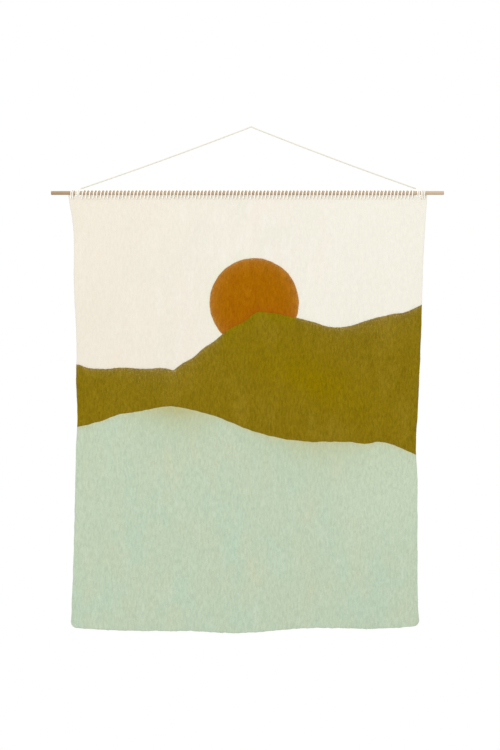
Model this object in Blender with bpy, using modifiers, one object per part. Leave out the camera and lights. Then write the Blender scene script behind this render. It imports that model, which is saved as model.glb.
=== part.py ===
"""Felt wall hanging: a sheet of inlaid wool felt, whip-stitched along its top edge to a wooden rod that hangs
from a cord.

Metres, +Z up, +X to the right for someone who faces the picture, the picture's face towards -Y. The origin is
the hanging point, where the underside of the cord's peak lies on its nail.
"""

import math

import bmesh
import bpy
import numpy as np

# The rod, and how far it hangs below the nail.
ROD_DIAMETER = 0.009
ROD_OVERHANG = 0.049  # past the cloth's nominal width, at each end
ROD_END_BEVEL = 0.0008
HANG_DROP = 0.150  # hanging point to rod axis

# The cloth. Its edges waver about the nominal width.
CLOTH_WIDTH = 0.800
CLOTH_HEIGHT = 0.993
CLOTH_MIDDLE = -0.008  # the nail is a little right of the cloth's middle
CLOTH_BELOW_ROD = 0.0025  # rod underside to top edge
FELT_THICKNESS = 0.0015
BACKING_THICKNESS = 0.0012
BOTTOM_CORNER_RADIUS = 0.014
FOLD_DROP = 0.690  # rod axis to the line across which the cloth folds

# The cords. One size of cord makes the hanger and the stitching.
CORD_DIAMETER = 0.003
STITCH_PITCH = 0.0084
STITCH_BITE = 0.009  # rod underside to the middle of the stitch holes
TAIL_LENGTH = 0.012
KNOT_STEPS = 10  # straight steps in one turn of a knot
ARC_STEPS = 4  # straight steps in the arc of a stitch over the rod
ARC_DIP = math.radians(10)  # how far below the rod's middle that arc starts and ends
HANGER_STEPS = 60

# Clearances.
SEAT = 0.0003  # between pieces that rest on each other
INLAY_GAP = 0.0004  # between neighbouring fields of felt, measured upright
STITCH_ROOM = 0.0011  # between the stitches and the felt's top edge
TURN_GAP = 0.0006  # between the close turns at the cloth's corners

# One knot and one group of close turns near each upper corner. Each knot is measured in from the cloth's nominal
# side, and the gaps beside it are to the group of turns outside it and to the nearest hole of the long run.
LEFT = {"side": -1, "knot_in": 0.012, "front_wraps": 3, "edge_turns": 2, "turns_gap": 0.0017, "run_gap": 0.0022}
RIGHT = {"side": 1, "knot_in": 0.0095, "front_wraps": 2, "edge_turns": 3, "turns_gap": 0.0007, "run_gap": 0.0108}

# The picture. Its lines run across the cloth: (place from -1 at the left side to 1 at the right, drop below the
# top edge).
SKYLINE = (
    (-1.0, 0.3875), (-0.84, 0.394), (-0.47, 0.395), (-0.425, 0.400), (-0.335, 0.3745), (-0.1975, 0.333),
    (-0.105, 0.304), (-0.015, 0.285), (0.065, 0.264), (0.1225, 0.266), (0.305, 0.283), (0.529, 0.304),
    (0.6725, 0.288), (0.9225, 0.264), (1.0, 0.249),
)
HILL_FOOT = (
    (-1.0, 0.530), (-0.84, 0.514), (-0.745, 0.500), (-0.61, 0.491), (-0.45, 0.480), (-0.2875, 0.491),
    (-0.1525, 0.507), (-0.015, 0.530), (0.1225, 0.547), (0.3525, 0.562), (0.6725, 0.5665), (0.7625, 0.564),
    (0.855, 0.576), (1.0, 0.598),
)
# How the edges waver: (place, out of true), the sides with their place as a drop below the top edge.
LEFT_SIDE = (
    (0.0, -0.010), (0.05, -0.001), (0.21, 0.0035), (0.35, 0.008), (0.60, 0.004), (0.84, -0.0005), (0.99, -0.006),
)
RIGHT_SIDE = (
    (0.0, 0.0106), (0.13, 0.0023), (0.32, -0.0036), (0.485, -0.0105), (0.585, -0.015), (0.63, -0.011),
    (0.87, -0.0105), (0.99, -0.006),
)
BOTTOM = (
    (-1.0, 0.006), (-0.7, 0.0), (-0.1, -0.0065), (0.18, -0.0005), (0.5, 0.006), (0.7, 0.004), (1.0, 0.010),
)
LINE_STEP = 0.016  # between points along a line across the cloth
SIDE_STEP = 0.050  # and down its sides

SUN_RADIUS = 0.1006
SUN_RIGHT = 0.0149  # the sun's middle, right of the cloth's middle
SUN_DROP = 0.2442  # and below the cloth's top edge
SUN_SIDES = 72

# Worked out from the sizes above. Heights are measured from the rod's axis.
ROD_RADIUS = ROD_DIAMETER / 2
CORD_RADIUS = CORD_DIAMETER / 2
CLOTH_TOP = -(ROD_RADIUS + CLOTH_BELOW_ROD)
HOLE_HEIGHT = -(ROD_RADIUS + STITCH_BITE)
HOLE_RADIUS = CORD_RADIUS + SEAT
FELT_TOP = HOLE_HEIGHT - CORD_RADIUS - STITCH_ROOM
WRAP_RADIUS = ROD_RADIUS + SEAT + CORD_RADIUS  # rod axis to the middle of a cord laid round the rod
KNOT_PITCH = CORD_DIAMETER + SEAT
EDGE_TURN_PITCH = CORD_DIAMETER + TURN_GAP
FELT_Y = -FELT_THICKNESS / 2
BACKING_Y = SEAT + BACKING_THICKNESS / 2

COLOURS = {
    "raw_wood": ((0.56, 0.41, 0.29), 0.6),
    "cotton_cord": ((0.86, 0.83, 0.74), 0.9),
    "backing_cotton": ((0.80, 0.77, 0.68), 0.95),
    "cream_wool": ((0.89, 0.85, 0.75), 0.95),
    "rust_wool": ((0.42, 0.13, 0.01), 0.95),
    "olive_wool": ((0.25, 0.18, 0.01), 0.95),
    "mint_wool": ((0.53, 0.66, 0.50), 0.95),
}


def start_scene():
    """An empty scene with one collection for the parts and one for the cutters."""
    for obj in list(bpy.data.objects):
        bpy.data.objects.remove(obj, do_unlink=True)
    for name in ("felt_wall_hanging", "cutters"):
        bpy.context.scene.collection.children.link(bpy.data.collections.new(name))


def material(name):
    found = bpy.data.materials.get(name)
    if found:
        return found
    colour, roughness = COLOURS[name]
    made = bpy.data.materials.new(name)
    made.use_nodes = True
    shader = made.node_tree.nodes["Principled BSDF"]
    shader.inputs["Base Color"].default_value = (*colour, 1.0)
    shader.inputs["Roughness"].default_value = roughness
    shader.inputs["Metallic"].default_value = 0.0
    return made


def add_part(obj, slot, parent=None):
    """Puts the object with the parts, in its own material."""
    for collection in list(obj.users_collection):
        collection.objects.unlink(obj)
    bpy.data.collections["felt_wall_hanging"].objects.link(obj)
    obj.data.materials.append(material(slot))
    obj.parent = parent
    return obj


def add_axis(name, location, parent=None):
    """An empty on a joint's axis. What turns with that joint is its child."""
    empty = bpy.data.objects.new(name, None)
    empty.empty_display_size = 0.02
    bpy.data.collections["felt_wall_hanging"].objects.link(empty)
    empty.parent = parent
    empty.location = location
    return empty


def smooth(points, at):
    """Values, at the given places, of a smooth curve through points listed in order."""
    place, value = np.array(points).T
    slope = np.gradient(value, place)
    at = np.clip(at, place[0], place[-1])
    i = np.clip(np.searchsorted(place, at) - 1, 0, len(place) - 2)
    span = place[i + 1] - place[i]
    t = (at - place[i]) / span
    start = (1 + 2 * t) * value[i] + t * span * slope[i]
    end = (3 - 2 * t) * value[i + 1] + (t - 1) * span * slope[i + 1]
    return (1 - t) ** 2 * start + t**2 * end


def across(x):
    """A place across the cloth, from -1 at its left side to 1 at its right."""
    return (x - CLOTH_MIDDLE) / (CLOTH_WIDTH / 2)


def side_x(side, z):
    waver = {-1: LEFT_SIDE, 1: RIGHT_SIDE}[side]
    return CLOTH_MIDDLE + side * CLOTH_WIDTH / 2 + smooth(waver, CLOTH_TOP - z)


def skyline(x):
    return CLOTH_TOP - smooth(SKYLINE, across(x))


def hill_foot(x):
    return CLOTH_TOP - smooth(HILL_FOOT, across(x))


def bottom(x):
    return CLOTH_TOP - CLOTH_HEIGHT + smooth(BOTTOM, across(x))


def level(z):
    return lambda x: z + 0.0 * x


def raised(line, by):
    return lambda x: line(x) + by


def steps(start, end, spacing):
    """Start, end, and what lies between them of a grid that every outline shares, so that neighbours match."""
    low, high = sorted((start, end))
    grid = spacing * np.arange(math.ceil(low / spacing + 0.2), math.floor(high / spacing - 0.2) + 1)
    return np.array([start, *(grid if start < end else grid[::-1]), end])


def corner(side, line, radius=0.0):
    """Where a line across the cloth meets a side. With a radius, where the side ends and the rounding starts."""
    x = CLOTH_MIDDLE + side * CLOTH_WIDTH / 2
    for _ in range(6):
        z = line(x - side * radius) + radius
        x = side_x(side, z)
    return x, z


def field_outline(upper, lower, corner_radius=0.0):
    """The part of the cloth between two lines, as (x, z) points: down the right side and up the left."""
    left, top_left = corner(-1, upper)
    right, top_right = corner(1, upper)
    low_left, left_end = corner(-1, lower, corner_radius)
    low_right, right_end = corner(1, lower, corner_radius)
    low_left += corner_radius
    low_right -= corner_radius
    points = [(x, upper(x)) for x in steps(left, right, LINE_STEP)]
    points += [(side_x(1, z), z) for z in steps(top_right, right_end, SIDE_STEP)[1:]]
    points += arc(low_right, right_end, corner_radius, 0)
    points += [(x, lower(x)) for x in steps(low_right, low_left, LINE_STEP)[1:]]
    points += arc(low_left, left_end, corner_radius, 1)
    points += [(side_x(-1, z), z) for z in steps(left_end, top_left, SIDE_STEP)[1:-1]]
    return points


def arc(x, z, radius, quarter):
    """A rounded lower corner, clockwise from the side to the bottom (quarter 0) or from the bottom up (1)."""
    if not radius:
        return []
    angles = -np.pi / 2 * (quarter + np.linspace(0, 1, 6)[1:])
    return [(x + radius * math.cos(a), z + radius * math.sin(a)) for a in angles]


def hole_ring(first_x, last_x):
    """A stitch hole: a hexagon round one cord, or a slot, a little taller, that several turns share."""
    corner = (HOLE_RADIUS + SEAT * (last_x > first_x)) / math.cos(math.pi / 6)
    ring = []
    for start, x in ((-90, last_x), (90, first_x)):
        for angle in np.radians(range(start, start + 181, 60)):
            ring.append((round(x + corner * math.cos(angle), 9), round(HOLE_HEIGHT + corner * math.sin(angle), 9)))
    return list(dict.fromkeys(ring))


def sheet(name, outline, y, thickness, holes=()):
    """A flat sheet that stands upright, its outline given in x and z."""
    curve = bpy.data.curves.new(name, "CURVE")
    curve.dimensions = "2D"
    curve.fill_mode = "BOTH"
    curve.extrude = thickness / 2
    for ring in (outline, *holes):
        spline = curve.splines.new("POLY")
        spline.points.add(len(ring) - 1)
        for point, (x, z) in zip(spline.points, ring):
            point.co = (x, z, 0.0, 1.0)
        spline.use_cyclic_u = True
    flat = bpy.data.objects.new(name, curve)
    flat.rotation_euler = (math.pi / 2, 0.0, 0.0)
    flat.location = (0.0, y, 0.0)
    return as_mesh(flat)


def as_mesh(flat):
    """The curve object as a welded mesh object in the same place."""
    bpy.context.scene.collection.objects.link(flat)
    bpy.context.view_layer.update()
    graph = bpy.context.evaluated_depsgraph_get()
    mesh = bpy.data.meshes.new_from_object(flat.evaluated_get(graph))
    shape = bmesh.new()
    shape.from_mesh(mesh)
    bmesh.ops.remove_doubles(shape, verts=shape.verts, dist=1e-6)
    bmesh.ops.dissolve_degenerate(shape, edges=shape.edges, dist=1e-6)
    bmesh.ops.recalc_face_normals(shape, faces=shape.faces)
    shape.to_mesh(mesh)
    shape.free()
    name, place = flat.name, flat.matrix_world.copy()
    bpy.data.objects.remove(flat, do_unlink=True)
    solid = bpy.data.objects.new(name, mesh)
    solid.matrix_world = place
    return solid


def as_cutter(obj):
    for collection in list(obj.users_collection):
        collection.objects.unlink(obj)
    bpy.data.collections["cutters"].objects.link(obj)
    obj.hide_render = True
    obj.display_type = "WIRE"
    return obj


def cut(obj, *cutters):
    for cutter in cutters:
        boolean = obj.modifiers.new(cutter.name, "BOOLEAN")
        boolean.operation = "DIFFERENCE"
        boolean.solver = "EXACT"
        boolean.object = cutter


def cord(name, route, sides):
    """A cord along the route, its ends capped. A tube of 6 sides has bevel_resolution 1, and of 8 sides 2."""
    curve = bpy.data.curves.new(name, "CURVE")
    curve.dimensions = "3D"
    curve.bevel_depth = CORD_RADIUS
    curve.bevel_resolution = (sides - 4) // 2
    curve.use_fill_caps = True
    spline = curve.splines.new("POLY")
    spline.points.add(len(route) - 1)
    for point, place in zip(spline.points, route):
        point.co = (*place, 1.0)
    return bpy.data.objects.new(name, curve)


def knot_x(end, outwards=0.0):
    """The middle of the knot at this end, or a place that far outwards from it."""
    return CLOTH_MIDDLE + end["side"] * (CLOTH_WIDTH / 2 - end["knot_in"] + outwards)


def knot_turn(end):
    """How far round the rod a knot's wraps go, and the length of rod that they take."""
    sweep = math.radians(360 * (end["front_wraps"] - 1) + 120)
    return sweep, sweep / (2 * math.pi) * KNOT_PITCH


def knot_route(end):
    """Wraps round the rod, from 60 degrees below its front to 60 above, then a lift over the stitches."""
    side = end["side"]
    sweep, length = knot_turn(end)
    count = round(sweep / (2 * math.pi) * KNOT_STEPS)
    radius = WRAP_RADIUS / math.cos(sweep / count / 2)
    start_x = knot_x(end, length / 2)
    route = []
    for step in range(count + 1):
        share = step / count
        angle = sweep * share - math.radians(60)
        route.append((start_x - side * length * share, -radius * math.cos(angle), radius * math.sin(angle)))
    x, y, z = route[-1]
    exit_x, exit_z = x - side * CORD_DIAMETER, WRAP_RADIUS + CORD_DIAMETER + 2 * SEAT
    reach = math.hypot(exit_x, HANG_DROP - exit_z)
    back_x, back_z = CORD_RADIUS * exit_x / reach, CORD_RADIUS * (exit_z - HANG_DROP) / reach
    route.append((x - side * CORD_RADIUS * 0.3, y * 0.5, (z + exit_z) / 2))
    route.append((exit_x + back_x, 0.0, exit_z + back_z))
    route.append((exit_x, 0.0, exit_z))
    return route


def hanger_route(left_end, right_end):
    """From one knot over the nail to the other, face to face with both, measured from the hanging point."""
    peak = ((-0.004, -0.0002), (0.0, CORD_RADIUS), (0.004, -0.0002))
    ends = []
    for x, _, z in (left_end, right_end):
        z = z - HANG_DROP
        share = 1 - 2 * SEAT / math.hypot(x, z)
        ends.append((x * share, z * share))
    sides = []
    for x, z in ends:
        sides += [(x * share, z * share) for share in (0.66, 0.33, 0.04)]
    points = [ends[0], *sides[:3], *peak, *reversed(sides[3:]), ends[1]]
    turn = 0.02
    xs = [
        *np.linspace(ends[0][0], -turn, HANGER_STEPS // 2),
        *np.linspace(-turn, turn, 11)[1:-1],
        *np.linspace(turn, ends[1][0], HANGER_STEPS // 2),
    ]
    return [(x, 0.0, z) for x, z in zip(xs, smooth(points, np.array(xs)))]


def stitch_plan():
    """Each stitch as (hole, where its cord comes down behind the cloth), from left to right."""
    groups = []
    run_ends = []
    for end in (LEFT, RIGHT):
        knot_half = knot_turn(end)[1] / 2 + CORD_RADIUS
        span = end["edge_turns"] * EDGE_TURN_PITCH
        start = knot_x(end, knot_half + end["turns_gap"] + CORD_RADIUS + span / 2) - span / 2
        holes = start + EDGE_TURN_PITCH * np.arange(end["edge_turns"])
        groups.append([(hole, hole + EDGE_TURN_PITCH) for hole in holes])
        run_ends.append(knot_x(end, -knot_half - end["run_gap"]))
    first, last = run_ends
    count = round((last - first) / STITCH_PITCH)
    holes = np.linspace(first, last, count + 1)
    pitch = (last - first) / count
    main_run = [(x, x + pitch) for x in holes[:-1]] + [(last, last + pitch / 2)]
    return groups[0] + main_run + groups[1], groups


def lashing_route(plan):
    """Round the rod and through the cloth at each hole. Between groups the cord runs along the cloth's back."""
    back = SEAT + BACKING_THICKNESS + SEAT + CORD_RADIUS
    front = BACKING_Y - CORD_RADIUS - 2 * SEAT
    radius = WRAP_RADIUS / math.cos((math.pi + 2 * ARC_DIP) / ARC_STEPS / 2)
    first, last = plan[0][0], plan[-1][1]
    route = [(first, back, HOLE_HEIGHT - TAIL_LENGTH)]
    for number, (hole, down) in enumerate(plan):
        route += [(hole, back, HOLE_HEIGHT), (hole, front, HOLE_HEIGHT)]
        for step in range(ARC_STEPS + 1):
            share = step / ARC_STEPS
            angle = -ARC_DIP + share * (math.pi + 2 * ARC_DIP)
            x = hole + (down - hole) * (0.25 + 0.5 * share)
            route.append((x, -radius * math.cos(angle), radius * math.sin(angle)))
        if number + 1 < len(plan) and plan[number + 1][0] - down > CORD_DIAMETER:
            route.append((down, back, HOLE_HEIGHT))
    route += [(last, back, HOLE_HEIGHT), (last, back, HOLE_HEIGHT - TAIL_LENGTH)]
    return route


def knot_relief(end):
    """A short drum round the rod where the cloth's top edge keeps clear of a knot."""
    _, length = knot_turn(end)
    bpy.ops.mesh.primitive_cylinder_add(
        vertices=32,
        radius=WRAP_RADIUS + CORD_RADIUS + 2 * SEAT,
        depth=length + CORD_DIAMETER + 4 * SEAT,
        location=(knot_x(end), 0.0, 0.0),
        rotation=(0.0, math.pi / 2, 0.0),
    )
    drum = bpy.context.object
    drum.name = "left_knot_relief" if end is LEFT else "right_knot_relief"
    return as_cutter(drum)


def fold_relief(name, up):
    """A bar with a V along it. It leaves a knife edge on the fold axis, so the cloth can fold both ways."""
    depth = FELT_THICKNESS + BACKING_THICKNESS + 4 * SEAT
    profile = [(-depth, depth), (0.0, 0.0), (depth, depth), (depth, -depth), (-depth, -depth)]
    curve = bpy.data.curves.new(name, "CURVE")
    curve.dimensions = "2D"
    curve.fill_mode = "BOTH"
    curve.extrude = CLOTH_WIDTH
    spline = curve.splines.new("POLY")
    spline.points.add(len(profile) - 1)
    for point, (y, z) in zip(spline.points, profile):
        point.co = (y, z * up, 0.0, 1.0)
    spline.use_cyclic_u = True
    bar = bpy.data.objects.new(name, curve)
    bar.rotation_euler = (math.pi / 2, 0.0, math.pi / 2)
    bar.location = (0.0, 0.0, -FOLD_DROP + up * SEAT / 2)
    return as_cutter(as_mesh(bar))


def make_rod(axis):
    bpy.ops.mesh.primitive_cylinder_add(
        vertices=24,
        radius=ROD_RADIUS,
        depth=CLOTH_WIDTH + 2 * ROD_OVERHANG,
        rotation=(0.0, math.pi / 2, 0.0),
    )
    rod = bpy.context.object
    rod.name = "rod"
    rod.location = (CLOTH_MIDDLE, 0.0, 0.0)
    rod.data.shade_smooth()
    rod.data.set_sharp_from_angle(angle=math.radians(40))
    bevel = rod.modifiers.new("ends", "BEVEL")
    bevel.width = ROD_END_BEVEL
    bevel.segments = 2
    bevel.limit_method = "ANGLE"
    add_part(rod, "raw_wood", axis)


def make_cords(hang_point, axis):
    """The knots and the hanger stay with the nail. The stitching swings with the cloth."""
    routes = {}
    for name, end in (("left_cord_knot", LEFT), ("right_cord_knot", RIGHT)):
        routes[name] = knot_route(end)
        knot = add_part(cord(name, routes[name], 8), "cotton_cord", hang_point)
        knot.location = (0.0, 0.0, -HANG_DROP)
    hanger = hanger_route(routes["left_cord_knot"][-1], routes["right_cord_knot"][-1])
    add_part(cord("hanging_cord", hanger, 8), "cotton_cord", hang_point)
    plan, _ = stitch_plan()
    add_part(cord("lashing_cord", lashing_route(plan), 6), "cotton_cord", axis)


def make_backing(axis, fold_axis):
    plan, groups = stitch_plan()
    shared = [hole for group in groups for hole, _ in group]
    holes = [hole_ring(x, x) for x, _ in plan if x not in shared]
    holes += [hole_ring(group[0][0], group[-1][0]) for group in groups]
    fold = level(-FOLD_DROP)
    outline = field_outline(level(CLOTH_TOP), fold)
    upper = sheet("backing_cloth_upper", outline, BACKING_Y, BACKING_THICKNESS, holes)
    cut(upper, knot_relief(LEFT), knot_relief(RIGHT), bpy.data.objects["upper_fold_relief"])
    add_part(upper, "backing_cotton", axis)
    outline = field_outline(fold, bottom, BOTTOM_CORNER_RADIUS)
    lower = sheet("backing_cloth_lower", outline, BACKING_Y, BACKING_THICKNESS)
    cut(lower, bpy.data.objects["lower_fold_relief"])
    hang_on_fold(add_part(lower, "backing_cotton", fold_axis))


def hang_on_fold(obj):
    """The outline is measured from the rod's axis, and the parent empty is on the fold."""
    obj.location.z += FOLD_DROP


def disc(name, radius, thickness):
    bpy.ops.mesh.primitive_cylinder_add(
        vertices=SUN_SIDES,
        radius=radius,
        depth=thickness,
        location=(CLOTH_MIDDLE + SUN_RIGHT, FELT_Y, CLOTH_TOP - SUN_DROP),
        rotation=(math.pi / 2, 0.0, 0.0),
    )
    made = bpy.context.object
    made.name = name
    return made


def make_sky(axis):
    sky = sheet("sky_felt", field_outline(level(FELT_TOP), raised(skyline, INLAY_GAP)), FELT_Y, FELT_THICKNESS)
    cut(sky, as_cutter(disc("sun_opening", SUN_RADIUS + INLAY_GAP, 4 * FELT_THICKNESS)))
    add_part(sky, "cream_wool", axis)


def make_sun(axis):
    sun = disc("sun_felt", SUN_RADIUS, FELT_THICKNESS)
    below = field_outline(raised(skyline, INLAY_GAP), level(CLOTH_TOP - SUN_DROP - 2 * SUN_RADIUS))
    cut(sun, as_cutter(sheet("hill_over_sun", below, FELT_Y, 4 * FELT_THICKNESS)))
    add_part(sun, "rust_wool", axis)


def make_hills(axis):
    outline = field_outline(skyline, raised(hill_foot, INLAY_GAP))
    add_part(sheet("hills_felt", outline, FELT_Y, FELT_THICKNESS), "olive_wool", axis)


def make_foreground(axis, fold_axis):
    fold = level(-FOLD_DROP)
    upper = sheet("foreground_felt_upper", field_outline(hill_foot, fold), FELT_Y, FELT_THICKNESS)
    cut(upper, bpy.data.objects["upper_fold_relief"])
    add_part(upper, "mint_wool", axis)
    outline = field_outline(fold, bottom, BOTTOM_CORNER_RADIUS)
    lower = sheet("foreground_felt_lower", outline, FELT_Y, FELT_THICKNESS)
    cut(lower, bpy.data.objects["lower_fold_relief"])
    hang_on_fold(add_part(lower, "mint_wool", fold_axis))


def main():
    start_scene()
    hang_point = add_axis("hang_point", (0.0, 0.0, 0.0))
    rod_axis = add_axis("rod_axis", (0.0, 0.0, -HANG_DROP), hang_point)
    fold_axis = add_axis("fold_axis", (0.0, 0.0, -FOLD_DROP), rod_axis)
    for cutter in (fold_relief("upper_fold_relief", 1), fold_relief("lower_fold_relief", -1)):
        cutter.parent = rod_axis
    make_rod(rod_axis)
    make_cords(hang_point, rod_axis)
    make_backing(rod_axis, fold_axis)
    make_sky(rod_axis)
    make_sun(rod_axis)
    make_hills(rod_axis)
    make_foreground(rod_axis, fold_axis)
    for cutter in bpy.data.collections["cutters"].objects:
        cutter.parent = rod_axis


main()
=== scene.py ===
import math

import bpy
import numpy as np
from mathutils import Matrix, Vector
from mathutils.geometry import delaunay_2d_cdt


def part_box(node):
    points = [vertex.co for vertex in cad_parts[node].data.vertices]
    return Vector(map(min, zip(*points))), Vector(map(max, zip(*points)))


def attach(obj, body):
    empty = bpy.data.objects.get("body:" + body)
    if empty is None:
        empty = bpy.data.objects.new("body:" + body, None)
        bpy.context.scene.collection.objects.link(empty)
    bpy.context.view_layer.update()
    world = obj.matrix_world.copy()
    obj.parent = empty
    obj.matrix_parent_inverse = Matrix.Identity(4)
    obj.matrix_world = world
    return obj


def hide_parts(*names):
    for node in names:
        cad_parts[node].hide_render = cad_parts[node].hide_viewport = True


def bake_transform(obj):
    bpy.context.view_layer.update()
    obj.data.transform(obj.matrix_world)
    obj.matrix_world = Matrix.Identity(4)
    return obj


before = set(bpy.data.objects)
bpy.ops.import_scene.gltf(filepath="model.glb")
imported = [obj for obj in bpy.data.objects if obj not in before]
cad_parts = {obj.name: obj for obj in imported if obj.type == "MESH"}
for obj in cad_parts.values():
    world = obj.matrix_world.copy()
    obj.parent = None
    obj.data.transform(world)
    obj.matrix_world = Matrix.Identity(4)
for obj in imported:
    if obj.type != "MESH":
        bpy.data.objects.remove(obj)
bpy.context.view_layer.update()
scene = bpy.context.scene

# The rod lies along X. The cloth hangs below it and faces -Y.
rodLow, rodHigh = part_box("rod")
rodRadius = (rodHigh.z - rodLow.z) / 2
rodZ = (rodHigh.z + rodLow.z) / 2
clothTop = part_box("backing_cloth_upper")[1].z
print("frame loaded, rod at", round(rodZ, 4), "and top edge at", round(clothTop, 4))


# Materials are put together with this helper. Most of its calls add one node and give back its output.
class Recipe:
    def __init__(self, name):
        self.material = bpy.data.materials.new(name)
        self.material.use_nodes = True
        self.tree = self.material.node_tree
        self.shader = self.tree.nodes["Principled BSDF"]

    def add(self, kind, settings=None, **inputs):
        node = self.tree.nodes.new("ShaderNode" + kind)
        for key, value in (settings or {}).items():
            setattr(node, key, value)
        for key, value in inputs.items():
            self.feed(node.inputs[key.replace("_", " ")], value)
        return node

    def feed(self, socket, value):
        if isinstance(value, bpy.types.NodeSocket):
            self.tree.links.new(value, socket)
        elif isinstance(value, tuple) and len(value) == 3 and socket.type == "RGBA":
            socket.default_value = (*value, 1)
        else:
            socket.default_value = value

    def place(self, kind="UV"):
        return self.add("TexCoord").outputs[kind]

    def stretched(self, vector, scale):
        return self.add("Mapping", Vector=vector, Scale=scale).outputs["Vector"]

    def noise(self, vector, scale, detail=2.0, roughness=0.5, distortion=0.0):
        node = self.add("TexNoise", Vector=vector, Scale=scale, Detail=detail)
        self.feed(node.inputs["Roughness"], roughness)
        self.feed(node.inputs["Distortion"], distortion)
        return node.outputs["Fac"]

    def painted(self, name):
        return self.add("Attribute", {"attribute_name": name}).outputs["Fac"]

    def math(self, operation, a, b=0.0):
        node = self.add("Math", {"operation": operation})
        self.feed(node.inputs[0], a)
        self.feed(node.inputs[1], b)
        return node.outputs[0]

    def ramp(self, value, stops):
        node = self.add("ValToRGB", Fac=value)
        band = node.color_ramp
        while len(band.elements) < len(stops):
            band.elements.new(0.5)
        for element, (at, colour) in zip(band.elements, stops):
            element.position = at
            element.color = (*colour, 1) if isinstance(colour, tuple) else (colour,) * 3 + (1,)
        return node.outputs["Color"]

    def mix(self, share, a, b, blend="MIX"):
        node = self.add("Mix", {"data_type": "RGBA", "blend_type": blend})
        self.feed(node.inputs[0], share)
        self.feed(node.inputs[6], a)
        self.feed(node.inputs[7], b)
        return node.outputs[2]

    def bump(self, height, distance, strength=1.0, under=None):
        node = self.add("Bump", Height=height, Distance=distance, Strength=strength)
        if under is not None:
            self.feed(node.inputs["Normal"], under)
        return node.outputs["Normal"]

    def surface(self, colour, roughness, normal=None, specular=0.25):
        self.feed(self.shader.inputs["Base Color"], colour)
        self.feed(self.shader.inputs["Roughness"], roughness)
        self.shader.inputs["Specular IOR Level"].default_value = specular
        if normal is not None:
            self.feed(self.shader.inputs["Normal"], normal)
        return self.material


# The room: a camera square on to the cloth, a soft key lamp at the upper left and a bright, even surround.
studio = {
    "lens": 90,
    "sensorWidth": 36,
    "viewHeight": 1.7145,  # metres from the bottom of the view to its top, at the cloth
    "viewMiddle": (-0.0023, -0.566),
    "surround": 1.0,
    "keyPlace": (-1.3, -3.6, 2.5),
    "keyTarget": (0, 0, -0.6),
    "keySize": 1.2,
    "keyWatts": 75.0,
    "floorZ": -2.0,
    "floorRadius": 2.5,
    "floorSides": 96,
    "floorDark": (0.78, 0.78, 0.77),
    "floorPale": (0.83, 0.83, 0.82),
}


def makeStudio():
    camera = bpy.data.cameras.new("camera")
    camera.lens = studio["lens"]
    camera.sensor_width = studio["sensorWidth"]
    camera.clip_end = 50
    stand = bpy.data.objects.new("camera", camera)
    scene.collection.objects.link(stand)
    x, z = studio["viewMiddle"]
    stand.location = (x, -studio["viewHeight"] * studio["lens"] / studio["sensorWidth"], z)
    stand.rotation_euler = (math.radians(90), 0, 0)
    scene.camera = stand

    world = bpy.data.worlds.new("studio")
    world.use_nodes = True
    background = world.node_tree.nodes["Background"]
    background.inputs["Color"].default_value = (1, 1, 1, 1)
    background.inputs["Strength"].default_value = studio["surround"]
    scene.world = world
    scene.view_settings.view_transform = "Standard"

    key = bpy.data.lights.new("softKey", "AREA")
    key.size = studio["keySize"]
    key.energy = studio["keyWatts"]
    lamp = bpy.data.objects.new("softKey", key)
    scene.collection.objects.link(lamp)
    lamp.location = studio["keyPlace"]
    towards = Vector(studio["keyTarget"]) - lamp.location
    lamp.rotation_euler = towards.to_track_quat("-Z", "Y").to_euler()

    sides, radius, z = studio["floorSides"], studio["floorRadius"], studio["floorZ"]
    turns = np.linspace(0, 2 * np.pi, sides + 1)[:-1]
    rim = [(radius * math.cos(a), radius * math.sin(a), z) for a in turns]
    mesh = bpy.data.meshes.new("floor")
    mesh.from_pydata(rim, [], [tuple(range(sides))])
    floor = bpy.data.objects.new("floor", mesh)
    scene.collection.objects.link(floor)
    paint = Recipe("paleFloor")
    speckle = paint.noise(paint.place("Object"), 9, detail=3)
    colour = paint.ramp(speckle, [(0.3, studio["floorDark"]), (0.7, studio["floorPale"])])
    mesh.materials.append(paint.surface(colour, 0.7))


makeStudio()
print("studio ready")


# Shared shapes

def smooth(points, at):
    # a soft curve through (place, value) points in order, level past its ends
    place, value = np.array(points, float).T
    slope = np.gradient(value, place)
    at = np.clip(at, place[0], place[-1])
    i = np.clip(np.searchsorted(place, at) - 1, 0, len(place) - 2)
    span = place[i + 1] - place[i]
    t = (at - place[i]) / span
    start = (1 + 2 * t) * value[i] + t * span * slope[i]
    end = (3 - 2 * t) * value[i + 1] + (t - 1) * span * slope[i + 1]
    return (1 - t) ** 2 * start + t**2 * end


def easeIn(value, over):
    t = np.clip(value / over, 0, 1)
    return t * t * (3 - 2 * t)


def unevenness(at, seed, shortest, longest):
    # hand-made wobble of about unit height along a line
    dice = np.random.default_rng(seed)
    total = 0
    for _ in range(8):
        length = dice.uniform(shortest, longest)
        total = total + np.sin(2 * np.pi * at / length + dice.uniform(0, 2 * np.pi))
    return total / 3


def roundedPath(points, step):
    # an even, softened line through the points, its ends kept
    points = np.array(points, float)
    along = np.concatenate([[0], np.cumsum(np.linalg.norm(np.diff(points, axis=0), axis=1))])
    slope = np.gradient(points, along, axis=0)
    at = np.linspace(0, along[-1], max(2, round(along[-1] / step) + 1))
    i = np.clip(np.searchsorted(along, at) - 1, 0, len(along) - 2)
    span = (along[i + 1] - along[i])[:, None]
    t = (at - along[i])[:, None] / span
    a, b = points[i], points[i + 1]
    shareA, shareB = 2 * t**3 - 3 * t**2 + 1, -2 * t**3 + 3 * t**2
    pullA, pullB = t**3 - 2 * t**2 + t, t**3 - t**2
    return shareA * a + pullA * span * slope[i] + shareB * b + pullB * span * slope[i + 1]


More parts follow.
